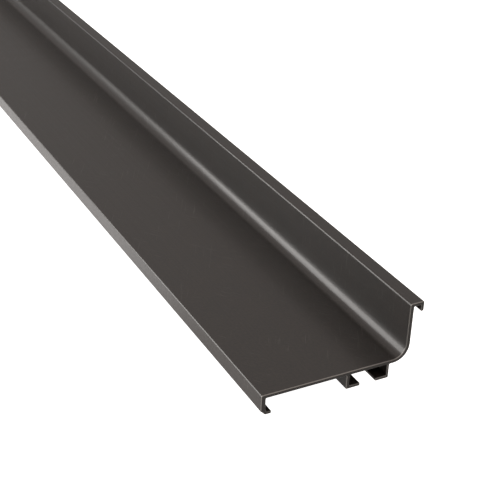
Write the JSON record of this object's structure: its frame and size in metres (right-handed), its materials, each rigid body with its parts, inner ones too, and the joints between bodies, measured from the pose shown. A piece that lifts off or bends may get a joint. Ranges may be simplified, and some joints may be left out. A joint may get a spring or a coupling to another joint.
{
  "type": "handleless cabinet channel profile",
  "caption": "L-section finger-pull channel for a handleless cabinet: wide web, coved upright with a hooked edge, and a T-slot behind that holds sliding, clamped fixing angles.",
  "frame": {"origin": "middle of the bar's length and width, on the level that the fixing angles stand on", "axes": "+Y along the bar, from its left end to its right end as seen on the cabinet; +Z the way the web faces, which is into the room; -X is up on the cabinet"},
  "size_m": [0.061, 0.6, 0.0437],
  "materials": {
    "anodised_aluminium": "satin brownish-black anodised",
    "zinc_plated_sheet": "bright zinc plated, pressed sheet",
    "zinc_plated_fastener": "bright zinc plated"
  },
  "bodies": {
    "profile": {"channel_profile": "anodised_aluminium"},
    "left_fixing": {"left_bracket": "zinc_plated_sheet", "left_nut_plate": "zinc_plated_sheet", "left_flat_washer": "zinc_plated_fastener", "left_spring_washer": "zinc_plated_fastener", "left_clamp_screw": "zinc_plated_fastener"},
    "right_fixing": {"right_bracket": "zinc_plated_sheet", "right_nut_plate": "zinc_plated_sheet", "right_flat_washer": "zinc_plated_fastener", "right_spring_washer": "zinc_plated_fastener", "right_clamp_screw": "zinc_plated_fastener"}
  },
  "joints": [
    {"name": "left_fixing_slide", "type": "slide", "parent": "profile", "child": "left_fixing", "axis": [0, 1, 0], "range_m": [-0.09, 0.185]},
    {"name": "right_fixing_slide", "type": "slide", "parent": "profile", "child": "right_fixing", "axis": [0, -1, 0], "range_m": [-0.09, 0.185]}
  ]
}
